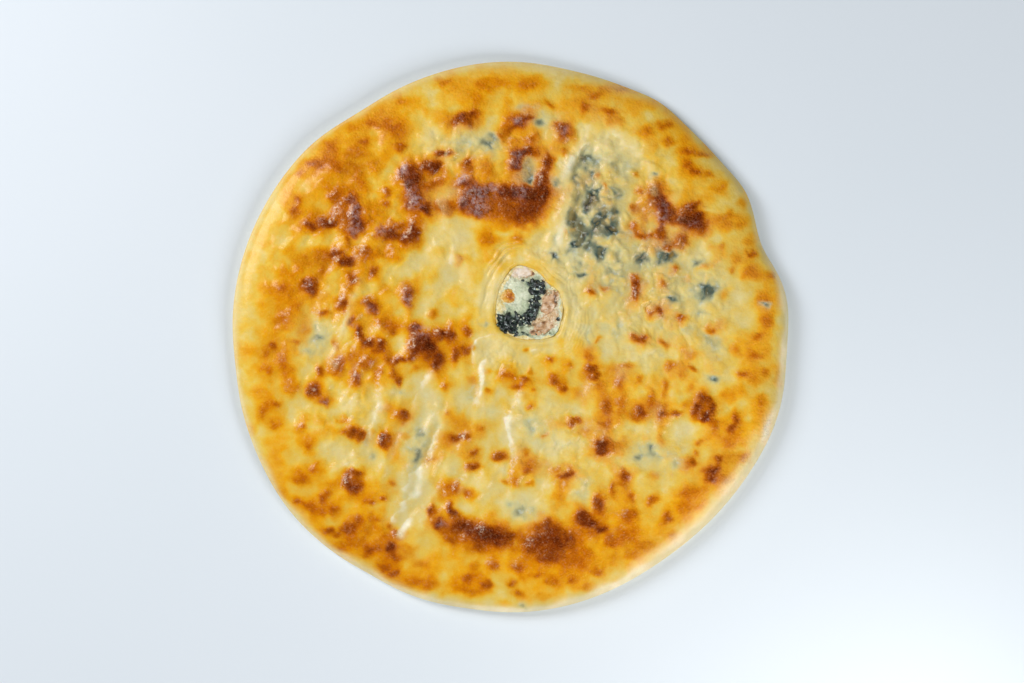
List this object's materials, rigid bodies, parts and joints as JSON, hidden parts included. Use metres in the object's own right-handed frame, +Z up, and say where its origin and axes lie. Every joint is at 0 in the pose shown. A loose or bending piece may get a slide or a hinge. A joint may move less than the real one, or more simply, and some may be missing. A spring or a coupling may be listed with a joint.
{
  "type": "chicken pie",
  "caption": "Thin round stuffed pie with a browned, blistered dough crust and an off-centre steam vent that shows a filling of chicken, spinach and cheese.",
  "frame": {"origin": "on the table, under the middle of the pie's box seen from above", "axes": "+Z up out of the table, +X to the right and +Y away from the viewer of the picture taken from above"},
  "size_m": [0.3326, 0.3296, 0.017],
  "materials": {
    "crust": "baked dough brushed with butter, golden with dark brown blisters and a pale edge",
    "filling": "moist pale cheese, tinted green",
    "spinach": "wet, cooked dark green leaf",
    "chicken": "cooked meat, pink-beige",
    "browned_cheese": "oily, toasted orange-brown"
  },
  "bodies": {
    "root": {"crust": "crust", "filling": "filling", "spinach_lower": "spinach", "spinach_front": "spinach", "spinach_middle": "spinach", "spinach_upper": "spinach", "chicken_upper": "chicken", "chicken_right": "chicken", "chicken_lower": "chicken", "browned_cheese": "browned_cheese"}
  },
  "joints": []
}
